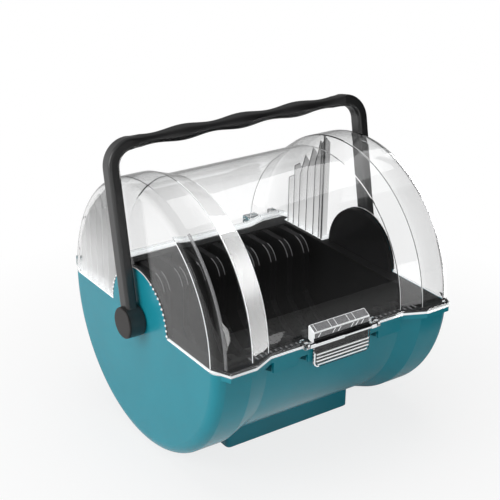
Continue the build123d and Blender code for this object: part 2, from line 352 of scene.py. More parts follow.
def arc_curve(tree, ins):
    """An arc about the drum axis at the given station, from start through sweep."""
    given = ins.outputs
    arc = node(tree, "GeometryNodeCurveArc", (-900, 0), mode="RADIUS", resolution=180,
               radius=given["Radius"], start_angle=given["Start"], sweep_angle=given["Sweep"])
    at = node(tree, "ShaderNodeCombineXYZ", (-800, -200), x=given["Station"], z=AXIS_Z)
    place = node(tree, "GeometryNodeTransform", (-600, 0), geometry=arc.outputs["Curve"],
                 translation=at.outputs[0], rotation=(math.pi / 2, 0, math.pi / 2))
    return place.outputs[0]


def bead_tree():
    """A round bead along an arc about the drum axis."""
    tree, ins, outs = geometry_tree("Edge Bead", {
        "Radius": 0.1, "Start": 0.0, "Sweep": 1.0, "Station": 0.0, "Bead": 0.0005})
    profile = node(tree, "GeometryNodeCurvePrimitiveCircle", (-300, -250), mode="RADIUS",
                   resolution=10, radius=ins.outputs["Bead"])
    sweep = node(tree, "GeometryNodeCurveToMesh", (0, 0), fill_caps=True,
                 curve=arc_curve(tree, ins), profile_curve=profile.outputs["Curve"])
    finish_tree(tree, ins, outs, sweep.outputs[0])
    return tree


def ribbon_tree():
    """A flat bar along the maker's edges; upright bars have their height along Z."""
    tree, ins, outs = geometry_tree("Ribbon", {"Width": 0.001, "Height": 0.001})
    curve = node(tree, "GeometryNodeMeshToCurve", (-700, 0), mesh=ins.outputs["Geometry"])
    upright = node(tree, "GeometryNodeSetCurveNormal", (-450, 0), mode="Z_UP",
                   curve=curve.outputs[0])
    profile = node(tree, "GeometryNodeCurvePrimitiveQuadrilateral", (-450, -250))
    for size in ("Width", "Height"):
        tree.links.new(ins.outputs[size], profile.inputs[size])
    sweep = node(tree, "GeometryNodeCurveToMesh", (-100, 0), fill_caps=True,
                 curve=upright.outputs[0], profile_curve=profile.outputs["Curve"])
    flat = node(tree, "GeometryNodeSetShadeSmooth", (200, 0), shade_smooth=False,
                geometry=sweep.outputs[0])
    finish_tree(tree, ins, outs, flat.outputs[0])
    return tree


def pip_tree():
    """Flattened balls at a pitch along an arc about the drum axis."""
    tree, ins, outs = geometry_tree("Highlight Pips", {
        "Radius": 0.05, "Start": 0.0, "Sweep": 1.0, "Station": 0.0, "Pip": 0.0006,
        "Pitch": 0.00515})
    given = ins.outputs
    spots = node(tree, "GeometryNodeCurveToPoints", (-300, 0), mode="LENGTH",
                 curve=arc_curve(tree, ins), length=given["Pitch"])
    ball = node(tree, "GeometryNodeMeshIcoSphere", (-300, -300), subdivisions=2,
                radius=given["Pip"])
    spread = node(tree, "GeometryNodeInstanceOnPoints", (0, 0), scale=(0.8, 0.8, 1.0),
                  points=spots.outputs["Points"], instance=ball.outputs["Mesh"],
                  rotation=spots.outputs["Rotation"])
    finish_tree(tree, ins, outs, spread.outputs[0])
    return tree


def corner_tree():
    """A bead that thins towards both ends of the maker's path, once for each divider."""
    tree, ins, outs = geometry_tree("Corner Beads", {
        "Bead": 0.0003, "Count": 11, "Pitch": 0.022, "First": -0.11})
    given = ins.outputs
    curve = node(tree, "GeometryNodeMeshToCurve", (-1000, 0), mesh=given["Geometry"])
    along = node(tree, "GeometryNodeSplineParameter", (-1000, -300))
    wave = maths(tree, "SINE", maths(tree, "MULTIPLY", along.outputs["Factor"], math.pi), 0)
    slim = node(tree, "GeometryNodeSetCurveRadius", (-700, 0), curve=curve.outputs[0],
                radius=wave)
    profile = node(tree, "GeometryNodeCurvePrimitiveCircle", (-700, -300), mode="RADIUS",
                   resolution=8, radius=given["Bead"])
    sweep = node(tree, "GeometryNodeCurveToMesh", (-450, 0), curve=slim.outputs[0],
                 profile_curve=profile.outputs["Curve"])
    first = node(tree, "ShaderNodeCombineXYZ", (-700, 500), x=given["First"])
    step = node(tree, "ShaderNodeCombineXYZ", (-700, 300), x=given["Pitch"])
    line = node(tree, "GeometryNodeMeshLine", (-450, 300), mode="OFFSET", count=given["Count"],
                start_location=first.outputs[0], offset=step.outputs[0])
    spread = node(tree, "GeometryNodeInstanceOnPoints", (0, 0), points=line.outputs[0],
                  instance=sweep.outputs[0])
    finish_tree(tree, ins, outs, spread.outputs[0])
    return tree


def fin_tree():
    """Thin upright fins in a row along X."""
    tree, ins, outs = geometry_tree("Rim Fins", {
        "From": -0.074, "To": -0.044, "Count": 7, "Y": -0.13, "Z": 0.138})
    given = ins.outputs
    first, last = (node(tree, "ShaderNodeCombineXYZ", (-800, at), x=given[x], y=given["Y"],
                        z=given["Z"]).outputs[0] for x, at in (("From", 100), ("To", -100)))
    line = node(tree, "GeometryNodeMeshLine", (-500, 0), mode="END_POINTS",
                count_mode="TOTAL", count=given["Count"], start_location=first, offset=last)
    fin = node(tree, "GeometryNodeMeshCube", (-500, -300), size=(0.0009, 0.0060, 0.0008))
    spread = node(tree, "GeometryNodeInstanceOnPoints", (0, 0), points=line.outputs[0],
                  instance=fin.outputs["Mesh"])
    finish_tree(tree, ins, outs, spread.outputs[0])
    return tree


# ---------------------------------------------------------------- operators
TRIM_LOOKS = {  # colour, roughness, alpha, glow
    # near-white and glowing: painted highlights and glints along the edges of the lid, rim, latch
    # and lobes, and on the pale rib bases
    "highlight glow": ((0.90, 0.915, 0.92), 0.25, 0.9, 0.35),
    # dark and half clear: painted shade, as lines beside the lid's edges and ribs and as bars on
    # the rim's lip
    "shade paint": ((0.035, 0.035, 0.037), 0.35, 0.75, 0.0),
    # grey, faint and glowing a little: painted sheen on the lid's wide band, the rim fins and the
    # latch housing
    "sheen glow": ((0.42, 0.42, 0.43), 0.4, 0.42, 0.10),
    # pale and glowing: painted light on the rear ribs, fading towards their top
    "rib glow": ((0.80, 0.80, 0.81), 0.5, 0.50, 0.25),
    # dark teal: painted shade in the gaps beside the panels under the front rim
    "panel end shade": ((0.003, 0.085, 0.105), 0.9, 1.0, 0.0),
}


def trim(name):
    """Plastic of the fine mouldings: glowing painted highlights and sheen, dark painted shade,
    glowing ribs and dark panel-end shade.
    """
    made = bpy.data.materials.get(name)
    if made is None:
        colour, roughness, alpha, glow = TRIM_LOOKS[name]
        specular = 0.5 if glow else 0.15
        made = moulded_plastic(name, colour, roughness, grain=0.03, mottle=0.06, scale=500.0,
                               specular=specular, glow=glow)
        made.node_tree.nodes[PRINCIPLED].inputs["Alpha"].default_value = alpha
    return made


def rib_glow_plastic():
    """Rear rib plastic with a painted glow, pale at the foot and darker towards the top."""
    made = bpy.data.materials.get("rib glow")
    if made is None:
        made = trim("rib glow")
        tree = made.node_tree
        where = tree.nodes["Texture Coordinate"]
        split = node(tree, "ShaderNodeSeparateXYZ", (-900, -200),
                     vector=where.outputs["Object"])
        stretch = 4.0                # the ramp's stops are at this times the height
        rise = maths(tree, "MULTIPLY", split.outputs["Z"], stretch)
        fade = ramp(tree, rise, ((0.54, 0.90), (0.70, 0.72), (0.86, 0.38), (0.96, 0.16)))
        tree.links.new(fade, tree.nodes["Group"].inputs["Colour"])
    return made


def mm(points):
    """Millimetres about the drum axis to metres about the floor."""
    return [(x / PER_METRE, y / PER_METRE, z / PER_METRE + AXIS_Z) for x, y, z in points]


def bar(tree, points, width, height, look="highlight glow"):
    """A flat bar of the ribbon tree; all in millimetres about the drum axis."""
    return bake_nodes(tree, {"Width": width / PER_METRE, "Height": height / PER_METRE,
                             "Material": trim(look)}, "bar", mm(points))


def plate(points, thickness, material):
    """A sheet with its plastic; its outline in millimetres about the drum axis."""
    mesh = sheet(mm(points), thickness)
    mesh.materials.append(material)
    return mesh


class CASE_OT_tub(bpy.types.Operator):
    """Teal plastic for the tub and its foot"""
    bl_idname = "case.tub"
    bl_label = "Tub and foot"

    def execute(self, context):
        s = context.scene.case_plastic
        teal = moulded_plastic("teal plastic", s.tub, 0.22, grain=s.grain, mottle=0.10,
                               scale=1400.0, specular=0.35)
        dress(("tub_shell", "foot_block"), teal)
        return {"FINISHED"}


class CASE_OT_panel_shades(bpy.types.Operator):
    """Painted shade: dark teal sheets beside the panels under the front rim"""
    bl_idname = "case.pockets"
    bl_label = "Rim panel shades"

    def execute(self, context):
        y, top, low, tip, reach = -129.8, -8.4, -14.6, -11.4, 6.0     # millimetres
        meshes = [plate([(x, y, top), (x, y, low), (x - reach, y, tip)], (0, 0.0006, 0),
                        trim("panel end shade")) for x in (-75.0, -36.6, 46.4)]
        piece = join_meshes("rim_panel_end_shades", meshes, smooth=False)
        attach(piece, "tub")
        return {"FINISHED"}


class CASE_OT_rack(bpy.types.Operator):
    """Black plastic for the tray, its deck, its ends and the dividers"""
    bl_idname = "case.rack"
    bl_label = "Rack and dividers"

    def execute(self, context):
        s = context.scene.case_plastic
        black = moulded_plastic("black plastic", s.rack, 0.48, grain=0.25, mottle=0.2,
                                scale=1100.0, specular=0.12)
        dress([n for n in NODES if n.startswith(("rack_", "divider_"))], black)
        return {"FINISHED"}


class CASE_OT_corners(bpy.types.Operator):
    """Painted highlights: pale grey beads on the rounded corners of the dividers"""
    bl_idname = "case.corners"
    bl_label = "Divider corners"

    def execute(self, context):
        # pale grey beads stand in for the highlights on the black dividers' rounded corners
        glint = moulded_plastic("corner glint", (0.30, 0.30, 0.31), 0.3, grain=0.1, mottle=0.3,
                               scale=500.0)
        tree = corner_tree()
        y, z, radius = 0.084, AXIS_Z - 0.0215, 0.02005     # the divider's rounded corner
        first_turn, turn, steps = 8, 66, 16                # the stretch of painted highlight, in degrees
        bead, inset = 0.0004, 0.0002
        turns = [math.radians(first_turn + turn * i / steps) for i in range(steps + 1)]
        path = [(0.0, y - radius * math.sin(a), z + radius * math.cos(a)) for a in turns]
        meshes = []
        for side in (-1, 1):
            first = -PITCH * (DIVIDERS - 1) / 2 + side * (THICK / 2 - inset)
            meshes.append(bake_nodes(tree, {
                "Bead": bead, "Count": DIVIDERS, "Pitch": PITCH, "First": first,
                "Material": glint}, "corner", path))
        piece = join_meshes("divider_corner_highlights", meshes)
        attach(piece, "tub")
        return {"FINISHED"}


class CASE_OT_lid(bpy.types.Operator):
    """Clear plastic for the lid and the latch, with glowing beads along the lid's edges as painted
    highlights, dark thin beads beside two of them as painted shade and a grey band as painted
    sheen
    """
    bl_idname = "case.lid"
    bl_label = "Clear lid and latch"

    def execute(self, context):
        s, t = context.scene.case_plastic, context.scene.case_trim
        clear = clear_plastic("clear plastic", s.clear, 0.02)
        dress(CLEAR, clear)
        tree = bead_tree()
        foot = 0.004                 # height at which the arcs start above the drum axis
        sunk = 0.3 * t.bead          # a bead stands in its edge by this much
        shade_in, shade_down, shade_size = 0.0009, 0.0002, 0.6
        band_down, band_size = 0.0008, 3.0

        def arc(x, r, top, size, look):
            low = math.asin(foot / r)
            return bake_nodes(tree, {
                "Radius": r, "Start": math.pi - math.radians(top),
                "Sweep": math.radians(top) - low, "Bead": size * t.bead, "Station": x,
                "Material": trim(look)}, "arc")
        # station, radius, degrees up from the front rim, size against the bead
        edges = ((-END_X, END_R, 57, 1.0), (-STEP_X, WIDE_R, 85, 1.0),
                 (-WAIST_X, WAIST_R, 86, 0.9), (STEP_X, WIDE_R, 88, 0.45),
                 (WAIST_X, WAIST_R, 50, 0.45), (END_X, END_R, 95, 0.6))
        # glowing beads: painted highlights along the lid's edges; dark thin beads: painted shade;
        # the wide grey band: painted sheen
        meshes = [arc(x - math.copysign(sunk, x), r - sunk, top, size, "highlight glow")
                  for x, r, top, size in edges]
        shades = [arc(x - shade_in, r - shade_down, top, shade_size, "shade paint")
                  for x, r, top in ((STEP_X, WIDE_R, 88), (WAIST_X, WAIST_R, 50))]
        bands = [arc(-WIDE_X, WIDE_R - band_down, 56, band_size, "sheen glow")]
        for name, made in (("lid_sheen_band", bands), ("lid_edge_shades", shades),
                           ("lid_edge_highlights", meshes)):
            piece = join_meshes(name, made)
            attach(piece, "lid")
        return {"FINISHED"}


class CASE_OT_ribs(bpy.types.Operator):
    """Comb of upright ribs inside the rear of each end of the lid, glowing as painted light, with
    dark bars on their edges as painted shade, on a pale glowing base as painted highlight
    """
    bl_idname = "case.ribs"
    bl_label = "Rear ribs"

    def execute(self, context):
        t = context.scene.case_trim
        wall, inner, low = 0.1340, 0.1340 - t.rib_depth, 0.0006
        shoulder, shoulder_r, wall_r = 0.129, 0.1285, 0.1235     # top edge of a full rib
        slim = 0.002                                             # the narrow last rib
        rib_thick, full_edge, slim_edge = 0.0008, 0.0006, 0.0011
        base_thick, base_up = 0.0005, 0.0003
        base_in = inner - 0.0004
        base = [(base_in, 0.052), (wall, 0.052), (wall, 0.121), (0.130, 0.1255),
                (base_in, 0.1215)]
        bars, sheets, bases = [], [], []
        tree = ribbon_tree()
        for side in (-1, 1):
            for y, reach in RIBS:
                full = y != RIBS[-1][0]
                mid = math.sqrt(reach ** 2 - y ** 2)
                peak = max(mid, math.sqrt(shoulder_r ** 2 - y ** 2))
                edge = [(inner, low), (inner, mid)]
                outline = [(inner, low), (inner + slim, low), (inner + slim, mid), (inner, mid)]
                if full:
                    edge.append((shoulder, peak))
                    outline = [(inner, low), (wall, low),
                               (wall, math.sqrt(wall_r ** 2 - y ** 2)), (shoulder, peak),
                               (inner, mid)]
                sheets.append(sheet([(side * x, y, AXIS_Z + z) for x, z in outline],
                                    (0, rib_thick, 0)))
                thick = full_edge if full else slim_edge
                bars.append(bake_nodes(
                    tree, {"Width": thick, "Height": thick, "Material": trim("shade paint")},
                    "bar", [(side * x, y, AXIS_Z + z) for x, z in edge]))
            bases.append(sheet([(side * x, y, AXIS_Z + base_up) for x, y in base],
                               (0, 0, base_thick)))
        # glowing ribs and bases: painted light; dark edge bars: painted shade
        for name, made, material in (
                ("lid_rear_ribs", sheets, rib_glow_plastic()),
                ("lid_rib_shades", bars, None), ("lid_rib_glow_bases", bases, trim("highlight glow"))):
            if material:
                for mesh in made:
                    mesh.materials.append(material)
            piece = join_meshes(name, made, smooth=False)
            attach(piece, "lid")
        return {"FINISHED"}


class CASE_OT_rim(bpy.types.Operator):
    """Glowing bars inside the lip of the lid's rim as painted highlights, and dark bars on the
    lip's crown and right face as painted shade
    """
    bl_idname = "case.rim"
    bl_label = "Rim lip"

    def execute(self, context):
        tree = ribbon_tree()
        gap = LATCH_GAP_X * PER_METRE
        # X and depth of the lip, of the shelf inside it and of its crown, in millimetres
        lip = [(135.2, 121.8), (126.5, 141.4), (99.4, 141.4), (77.3, 131.4)]
        shelf = [(131.5, 117.0), (124.5, 136.8), (99.4, 136.8), (77.3, 126.8), (0.0, 126.8)]
        crown = [(134.6, 121.0), (126.8, 141.3), (99.3, 141.3), (77.2, 131.3)]
        end = [(134.9, 51.6), (134.9, 121.6)]
        front_lip, rear_lip = lip + [(gap, 131.4)], lip + [(0.0, 131.4)]
        # path, -1 for the front or 1 for the rear, height, then the bar's width and height
        # glowing bars along the lip, the shelf and the ends: painted highlights
        bright = ((front_lip, -1, 1.25, 1.0, 2.0), (rear_lip, 1, 2.5, 1.0, 4.0),
                  (shelf, 1, 2.7, 8.0, 0.3), (end, -1, 0.8, 3.2, 1.0), (end, 1, 0.8, 3.2, 1.0))
        # dark bars on the crown and on the right lip's face: painted shade
        top, face = (crown + [(gap, 131.3)], -1, 5.15, 2.3, 0.25), (lip, -1, 3.6, 1.0, 2.5)
        meshes, shades = [], []
        for side, dark in ((-1, (top,)), (1, (top, face))):
            for made, look, bars in ((meshes, "highlight glow", bright),
                                     (shades, "shade paint", dark)):
                made += [bar(tree, [(side * x, way * y, z) for x, y in path], width, height,
                             look) for path, way, z, width, height in bars]
        for name, made in (("rim_lip_highlights", meshes), ("rim_lip_shades", shades)):
            piece = join_meshes(name, made, smooth=False)
            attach(piece, "lid")
        return {"FINISHED"}


class CASE_OT_lobe_edges(bpy.types.Operator):
    """Black band as painted shade, and bright pips and a pale bead as painted highlights, around
    each lobe
    """
    bl_idname = "case.seal"
    bl_label = "Lobe edge marks"

    def execute(self, context):
        t = context.scene.case_trim
        beads, pips, band = bead_tree(), pip_tree(), ribbon_tree()
        turn = math.radians
        pip_r, pip_x, pip_starts, pip_sweep = LOBE_R + 0.0008, END_X + 0.0001, (4, 118), 58
        bead, bead_start, bead_sweep = 0.0005, 64, 52      # plain pale bead between the pips, also a painted highlight
        band_r, band_x, band_width, band_height = LOBE_R + 0.0005, 0.1349, 0.0030, 0.0007
        black = bpy.data.materials["black plastic"]
        pale, _, shader, _ = fresh_material("pale bead")
        shader.inputs["Specular IOR Level"].default_value = 0.0
        bright, dark = [], []
        for side in (-1, 1):
            here = {"Radius": pip_r, "Station": side * pip_x}
            for first in pip_starts:
                bright.append(bake_nodes(pips, {
                    **here, "Start": turn(first), "Sweep": turn(pip_sweep), "Pip": t.pip,
                    "Pitch": t.pip_pitch, "Material": trim("highlight glow")}, "pips"))
            bright.append(bake_nodes(beads, {
                **here, "Start": turn(bead_start), "Sweep": turn(bead_sweep), "Bead": bead,
                "Material": pale}, "bead"))
            # the black band along each lobe's edge is painted shade
            path = [(side * band_x, band_r * math.cos(turn(a)),
                     AXIS_Z + band_r * math.sin(turn(a))) for a in range(3, 178, 3)]
            dark.append(bake_nodes(band, {"Width": band_width, "Height": band_height,
                                          "Material": black}, "band", path))
        for name, made in (("lobe_highlight_pips", bright), ("lobe_shade_bands", dark)):
            piece = join_meshes(name, made)
            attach(piece, "lid")
        return {"FINISHED"}


class CASE_OT_fins(bpy.types.Operator):
    """Fins along the front rim, in grey plastic that glows a little as painted highlights"""
    bl_idname = "case.fins"
    bl_label = "Rim fins"

    def execute(self, context):
        t = context.scene.case_trim
        tree = fin_tree()
        outer, inner = 0.096, 0.044
        y, z = -(RIM_Y - 0.0065), AXIS_Z + RIM_TOP + 0.0004
        meshes = [bake_nodes(tree, {
            "From": side * outer, "To": side * inner, "Count": t.fins, "Y": y, "Z": z,
            "Material": trim("sheen glow")}, "fins") for side in (-1, 1)]
        fins = join_meshes("rim_fins", meshes)
        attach(fins, "lid")
        return {"FINISHED"}


class CASE_OT_latch(bpy.types.Operator):
    """Glowing bars as painted highlights on the edges, fine lines and ribs of the latch housing
    and the flap, with grey sheets as painted sheen
    """
    bl_idname = "case.latch"
    bl_label = "Latch edges"

    def execute(self, context):
        tree = ribbon_tree()
        # the first is the glowing painted highlight, the second the grey painted sheen
        clear, sheen = trim("highlight glow"), trim("sheen glow")
        # the housing's slope and brow, Y and Z; its half widths at their lines
        wedge = ((-127.3, 18.3), (-135.3, 14.1), (-135.3, 8.8))
        half, line = 32.0, 31.9
        cheek = ((-127.4, 18.2), (-135.5, 14.1), (-136.0, 2.5), (-128.0, 5.5))
        bright = [bar(tree, [(-half, y, z) for y, z in wedge], 0.8, 0.8),
                  bar(tree, [(half, y, z) for y, z in wedge], 0.5, 0.5),
                  bar(tree, [(-line, -127.3, 18.2), (line, -127.3, 18.2)], 0.5, 0.5),
                  bar(tree, [(-line, -135.3, 14.0), (line, -135.3, 14.0)], 0.8, 1.3),
                  plate([(-32.7, y, z) for y, z in cheek], (-0.0003, 0, 0), clear)]
        # glowing ears beside the flap, painted highlights: ends in X, then Y, Z and the bar's
        # height
        for first, last, y, z, height in ((40.0, 42.0, -139.6, 5.6, 2.2),
                                          (33.0, 38.4, -139.3, 3.6, 3.4)):
            bright += [bar(tree, [(end * first, y, z), (end * last, y, z)], 0.5, height)
                       for end in (-1, 1)]
        # glowing fine lines down the slope and down the brow: painted highlights
        bright += [bar(tree, [(x, -127.5, 18.5), (x, -135.2, 14.5)], 0.35, 0.3)
                   for x in (-28.5, -11.7, -4.9, 9.5, 16.3)]
        bright += [bar(tree, [(x, -136.2, 13.2), (x - 3.0, -136.2, 9.2)], 0.35, 0.45)
                   for x in (-25.0, -8.5, -2.0, 13.0, 18.5, 25.0)]
        # grey sheets on the slope and the brow, and small grey bars by the ears: painted sheen
        slope = [(-31.8, -127.6, 18.25), (31.8, -127.6, 18.25), (31.8, -135.1, 14.3),
                 (-31.8, -135.1, 14.3)]
        brow = [(-31.6, -135.9, 13.3), (31.6, -135.9, 13.3), (31.6, -135.9, 8.6),
                (-31.6, -135.9, 8.6)]
        soft = [plate(slope, (0, 0, 0.0002), sheen), plate(brow, (0, 0.0002, 0), sheen)]
        soft += [bar(tree, [(end * 40.3, -139.8, 3.3), (end * 41.7, -139.8, 3.3)], 0.5, 1.3,
                     "sheen glow") for end in (-1, 1)]
        for name, made in (("latch_housing_highlights", bright), ("latch_housing_sheen", soft)):
            piece = join_meshes(name, made, smooth=False)
            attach(piece, "lid")
        # glowing bars on the flap's barrel in two stretches, its four ribs and its left rim:
        # painted highlights
        meshes = [bar(tree, [(-32.6, -139.2, 3.4), (0.5, -139.2, 3.4)], 0.5, 2.8),
                  bar(tree, [(0.5, -139.2, 3.6), (32.6, -139.2, 3.6)], 0.5, 1.5)]
        for z, reach in ((-7.6, 30.4), (-11.1, 30.4), (-14.6, 30.4), (-18.1, 28.7)):
            meshes.append(bar(tree, [(-reach, -138.2, z), (reach, -138.2, z)], 0.6, 0.9))
        rim = [(-31.9, -6.0), (-31.9, -16.2), (-31.0, -18.6), (-28.9, -20.2), (-26.8, -20.6)]
        meshes.append(bar(tree, [(x, -136.9, z) for x, z in rim], 1.0, 1.0))
        flap = join_meshes("latch_flap_highlights", meshes, smooth=False)
        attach(flap, "latch")
        return {"FINISHED"}


class CASE_OT_pad(bpy.types.Operator):
    """Black pad on the back of the flap, and the black sleeve of its barrel"""
    bl_idname = "case.pad"
    bl_label = "Flap pad"

    def execute(self, context):
        half, corner, top, shoulder, foot, y = 31.4, 27.2, 0.5, -16.4, -20.2, -134.95
        outline = [(-half, top), (-half, shoulder), (-corner, foot), (corner, foot),
                   (half, shoulder), (half, top)]
        black = bpy.data.materials["black plastic"]
        back = plate([(x, y, z) for x, z in outline], (0, 0.0003, 0), black)
        barrel_y, barrel_z, radius, sides = -136.2, 3.6, 2.8, 20
        turns = [math.tau * i / sides for i in range(sides)]
        sleeve = plate([(-32.3, barrel_y + radius * math.sin(a),
                         barrel_z + radius * math.cos(a)) for a in turns], (0.0646, 0, 0), black)
        pad = join_meshes("latch_pad", [back, sleeve], smooth=False)
        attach(pad, "latch")
        return {"FINISHED"}


class CASE_OT_handle(bpy.types.Operator):
    """Satin plastic for the bail handle and its hub caps"""
    bl_idname = "case.handle"
    bl_label = "Handle and caps"

    def execute(self, context):
        s = context.scene.case_plastic
        grip = moulded_plastic("handle plastic", s.handle, 0.36, grain=0.35, mottle=0.25,
                               scale=1600.0, specular=0.8)
        cap = moulded_plastic("cap plastic", s.cap, 0.45, grain=0.3, mottle=0.2,
                              scale=1600.0, specular=0.3)
        dress(("handle_bail",), grip)
        dress([n for n in NODES if n.startswith(("hub_cap", "pivot_washer"))], cap)
        return {"FINISHED"}


class CASE_OT_hardware(bpy.types.Operator):
    """Drawn steel for the pins and rings"""
    bl_idname = "case.hardware"
    bl_label = "Pins and rings"

    def execute(self, context):
        for name, colour, roughness, starts in (
                ("drawn steel", (0.55, 0.55, 0.56), 0.3, ("pivot_pin", "pivot_ring", "hinge_pin")),
                ("blackened steel", (0.03, 0.03, 0.032), 0.35, ("latch_pin",))):
            steel = moulded_plastic(name, colour, roughness, grain=0.2, mottle=0.2,
                                    scale=2500.0)
            steel.node_tree.nodes[PRINCIPLED].inputs["Metallic"].default_value = 1.0
            dress([n for n in NODES if n.startswith(starts)], steel)
        return {"FINISHED"}


def camera_matrix(s):
    """Camera placed by azimuth, elevation, roll and distance round its target."""
    a, e, r = s.azimuth, s.elevation, s.roll
    back = Vector((math.sin(a) * math.cos(e), -math.cos(a) * math.cos(e), math.sin(e)))
    right = (-back).cross(Vector((0, 0, 1))).normalized()
    up = right.cross(-back)
    right, up = (right * math.cos(r) + up * math.sin(r),
                 up * math.cos(r) - right * math.sin(r))
    turn = Matrix((right, up, back)).transposed().to_4x4()
    return Matrix.Translation(Vector(s.target) + back * s.distance) @ turn


def area_lamp(name, at, aim, size, power, glossy=True, diffuse=True, lid=None,
              shape="RECTANGLE"):
    """A soft lamp; one with lid set serves the clear pieces alone or all the others."""
    lamp = bpy.data.lights.new(name, "AREA")
    lamp.shape = shape
    lamp.size, lamp.size_y = size
    lamp.energy = power
    ob = add_object(name, lamp)
    ob.location = at
    ob.rotation_euler = (Vector(aim) - Vector(at)).to_track_quat("-Z", "Y").to_euler()
    ob.visible_camera = False
    ob.visible_transmission = False
    ob.visible_glossy = glossy
    ob.visible_diffuse = diffuse
    if lid is not None:
        serve(ob, lid)


def serve(light, clear):
    """Limits a light to the clear pieces, or to all the others."""
    served = bpy.data.collections.new(light.name + " serves")
    for piece in CLEAR:
        served.objects.link(NODES[piece])
    if not clear:
        for entry in served.collection_objects:
            entry.light_linking.link_state = "EXCLUDE"
    light.light_linking.receiver_collection = served


def maths(tree, operation, first, second, at=(0, 0)):
    """A Math node whose inputs are sockets or numbers."""
    made = node(tree, "ShaderNodeMath", at, operation=operation)
    for i, value in enumerate((first, second)):
        if isinstance(value, (int, float)):
            made.inputs[i].default_value = value
        else:
            tree.links.new(value, made.inputs[i])
    return made.outputs[0]


def mix(tree, share, first, second, at):
    """A Mix Shader node: the first shader where share is 0, the second where it is 1."""
    made = node(tree, "ShaderNodeMixShader", at)
    for entry, value in zip(made.inputs, (share, first, second)):
        tree.links.new(value, entry)
    return made.outputs[0]


def seen_by(tree, at):
    """1 for the camera and straight through clear plastic, and the gloss rays apart."""
    path = node(tree, "ShaderNodeLightPath", at)
    no_gloss = maths(tree, "LESS_THAN", path.outputs["Glossy Depth"], 0.5)
    no_bounce = maths(tree, "LESS_THAN", path.outputs["Diffuse Depth"], 0.5)
    straight = maths(tree, "MULTIPLY", no_gloss, no_bounce)
    through = maths(tree, "MULTIPLY", path.outputs["Is Transmission Ray"], straight)
    plain = maths(tree, "MAXIMUM", path.outputs["Is Camera Ray"], through)
    return plain, path.outputs["Is Glossy Ray"]


def ramp(tree, value, stops, at=(0, 0)):
    made = node(tree, "ShaderNodeValToRGB", at)
    bar = made.color_ramp.elements
    while len(bar) < len(stops):
        bar.new(0.5)
    for stop, (position, level) in zip(bar, stops):
        stop.position = position
        stop.color = (level, level, level, 1)
    tree.links.new(value, made.inputs["Fac"])
    return made.outputs["Color"]


def studio_world(fill):
    """White surround for the eye; gloss sees a horizon glow and three dark flags."""
    world = bpy.data.worlds.new("studio")
    world.use_nodes = True
    tree = world.node_tree
    tree.nodes.clear()
    link = tree.links.new
    out = node(tree, "ShaderNodeOutputWorld", (800, 0))
    where = node(tree, "ShaderNodeTexCoord", (-900, -300))
    split = node(tree, "ShaderNodeSeparateXYZ", (-700, -300),
                 vector=where.outputs["Generated"])
    glow = ramp(tree, split.outputs["Z"], ((0.05, 1.0), (0.55, 0.45)))
    # each flag: its direction, the cosines between which it comes on, what it leaves
    for i, (facing, start, full, left) in enumerate((
            ((0.57, -0.68, 0.44), 0.72, 0.86, 0.16), ((0.55, 0.80, 0.12), 0.70, 0.92, 0.35),
            ((-0.95, -0.30, 0.15), 0.72, 0.90, 0.25))):
        flag = node(tree, "ShaderNodeVectorMath", (-700, -500 - 200 * i),
                    operation="DOT_PRODUCT", vector=where.outputs["Generated"])
        flag.inputs[1].default_value = Vector(facing).normalized()
        shade = ramp(tree, flag.outputs["Value"], ((start, 1.0), (full, left)))
        both = node(tree, "ShaderNodeVectorMath", (-350, -400 - 200 * i),
                    operation="MULTIPLY", vector=glow)
        link(shade, both.inputs[1])
        glow = both.outputs[0]
    plain, shiny = seen_by(tree, (-900, 300))
    soft = node(tree, "ShaderNodeBackground", (300, 200), strength=fill)
    soft.inputs["Color"].default_value = WHITE
    mirror = node(tree, "ShaderNodeBackground", (300, 0))
    link(glow, mirror.inputs["Color"])
    white = node(tree, "ShaderNodeBackground", (300, -200))
    white.inputs["Color"].default_value = WHITE
    unseen = mix(tree, shiny, soft.outputs[0], mirror.outputs[0], (500, 100))
    link(mix(tree, plain, unseen, white.outputs[0], (650, 0)), out.inputs[0])
    return world


def studio_floor():
    """Pale floor that keeps the shadow and fades to white away from the case."""
    far_off = 9.0
    corners = [(x * far_off, y * far_off, 0) for x, y in ((-1, -1), (1, -1), (1, 1), (-1, 1))]
    mesh = bpy.data.meshes.new("floor")
    mesh.from_pydata(corners, [], [(0, 1, 2, 3)])
    mat, tree, shader, out = fresh_material("pale floor")
    link = tree.links.new
    shader.inputs["Base Color"].default_value = (0.86, 0.86, 0.86, 1)
    shader.inputs["Roughness"].default_value = 0.9
    where = node(tree, "ShaderNodeTexCoord", (-900, 0))
    far = node(tree, "ShaderNodeVectorMath", (-700, 0), operation="LENGTH",
               vector=where.outputs["Object"])
    half = 0.5                       # scale of the first ramp and shift of the second
    fade = ramp(tree, maths(tree, "MULTIPLY", far.outputs["Value"], half),
                ((0.08, 0.80), (0.24, 1.0)))
    side = node(tree, "ShaderNodeSeparateXYZ", (-700, -200), vector=where.outputs["Object"])
    back = ramp(tree, maths(tree, "ADD", side.outputs["X"], half),
                ((0.50, 0.95), (0.53, 0.80), (0.58, 0.25), (0.62, 0.15)))
    near = ramp(tree, far.outputs["Value"],
                ((0.14, 0.55), (0.20, 0.35), (0.42, 0.8), (0.72, 1.0)))
    plain, shiny = seen_by(tree, (-900, 400))
    share = maths(tree, "ADD", maths(tree, "MULTIPLY", plain, fade),
                  maths(tree, "MULTIPLY", shiny, maths(tree, "MULTIPLY", back, near)))
    glow = node(tree, "ShaderNodeEmission", (300, -400))
    link(mix(tree, share, shader.outputs[0], glow.outputs[0], (560, 0)), out.inputs[0])
    mesh.materials.append(mat)
    floor = add_object("floor", mesh)


